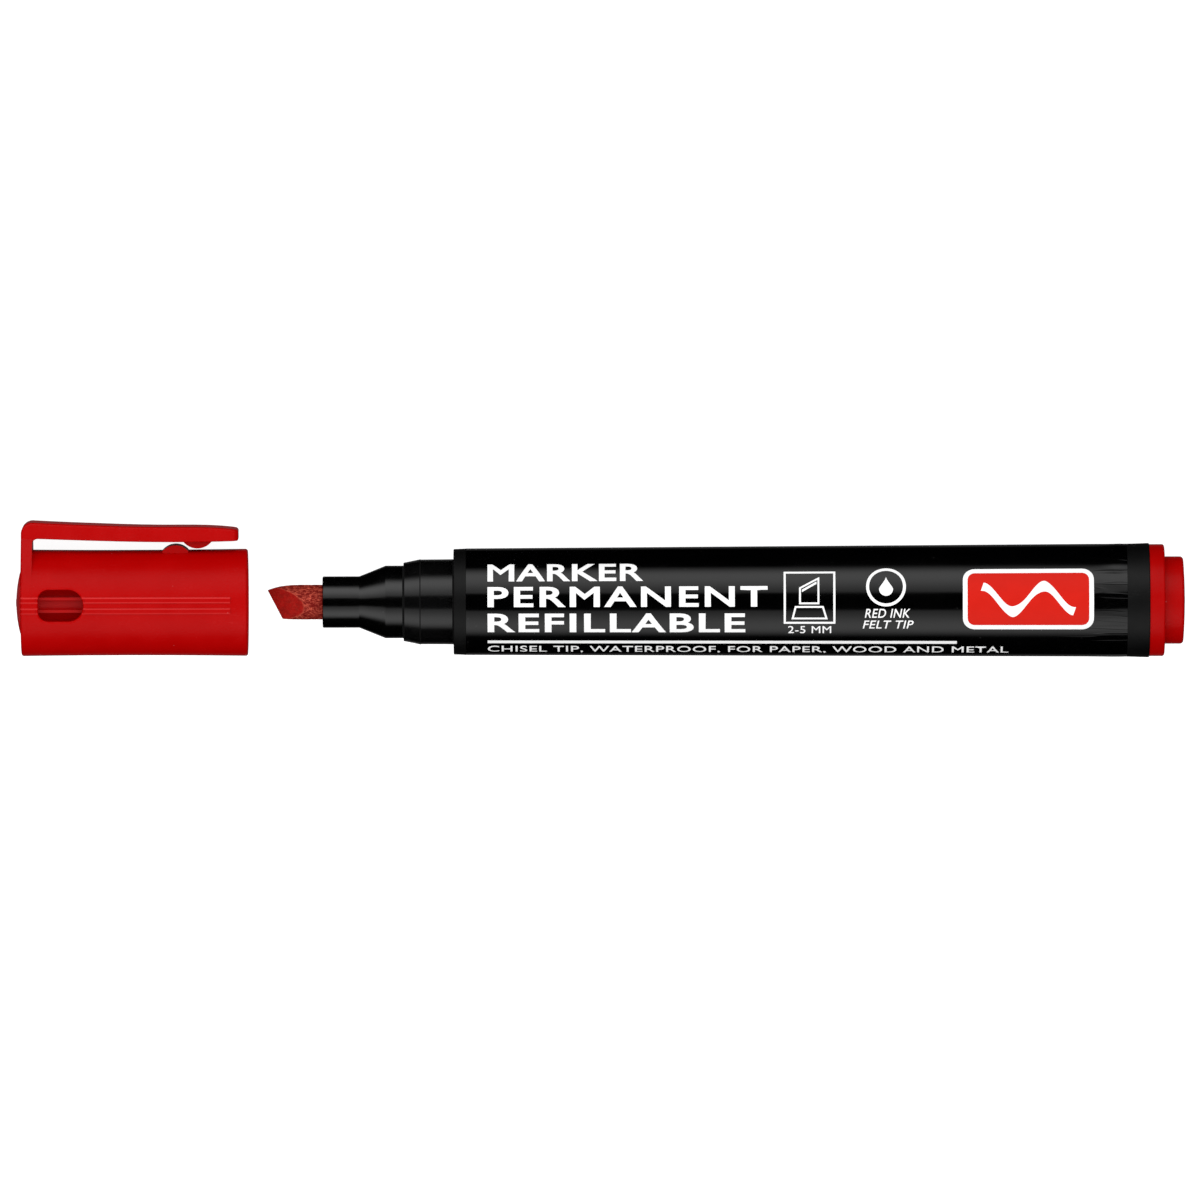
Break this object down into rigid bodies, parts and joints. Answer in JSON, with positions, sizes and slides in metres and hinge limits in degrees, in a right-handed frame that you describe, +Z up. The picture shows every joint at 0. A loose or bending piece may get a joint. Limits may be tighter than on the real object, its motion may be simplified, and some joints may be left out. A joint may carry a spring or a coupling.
{
  "type": "felt tip marker",
  "caption": "Refillable felt tip marker with a chisel nib, a tapered black barrel, a red cap with a pocket clip drawn off over the nib, and a red end plug.",
  "frame": {"origin": "the middle of the length and width of the marker as it lies on a desk on its barrel and clip, at the desk's height; the marker's axis is at Y -1.85 mm, Z 8.2 mm", "axes": "+X along the marker from the nib towards the tail plug, +Z up from the desk, +Y towards the side on which the clip touches the desk, 24 degrees below level"},
  "size_m": [0.1676, 0.0201, 0.0164],
  "materials": {
    "barrel_black": "fine matte moulding grain",
    "label_film": "glossy printed film",
    "holder_black": "semi-gloss moulding",
    "felt_red": "ink-soaked pressed felt",
    "fibre_red": "ink-soaked fibre bundle",
    "wrap_film": "thin clear film, pink with ink",
    "cap_red": "satin moulding",
    "inner_cap_red": "satin moulding",
    "plug_red": "satin moulding",
    "print_white": "screen-printed ink",
    "print_red": "screen-printed ink"
  },
  "bodies": {
    "marker": {"barrel": "barrel_black", "label_sleeve": "label_film", "nib_holder": "holder_black", "nib": "felt_red", "ink_reservoir": "fibre_red", "reservoir_wrap": "wrap_film"},
    "cap": {"cap_shell": "cap_red", "inner_cap": "inner_cap_red"},
    "clip": {"clip_arm": "cap_red"},
    "plug": {"end_plug": "plug_red"}
  },
  "joints": [
    {"name": "cap_slide", "type": "slide", "parent": "marker", "child": "cap", "axis": [1, 0, 0], "range_m": [0, 0.0294]},
    {"name": "clip_flex", "type": "hinge", "parent": "cap", "child": "clip", "pos_m": [-0.07958, 0.00875, 0.00348], "axis": [0, 0.4067, 0.9135], "range_deg": [0, 5], "stiffness_Nm_per_rad": 0.3},
    {"name": "plug_pull", "type": "slide", "parent": "marker", "child": "plug", "axis": [1, 0, 0], "range_m": [0, 0.014]}
  ]
}
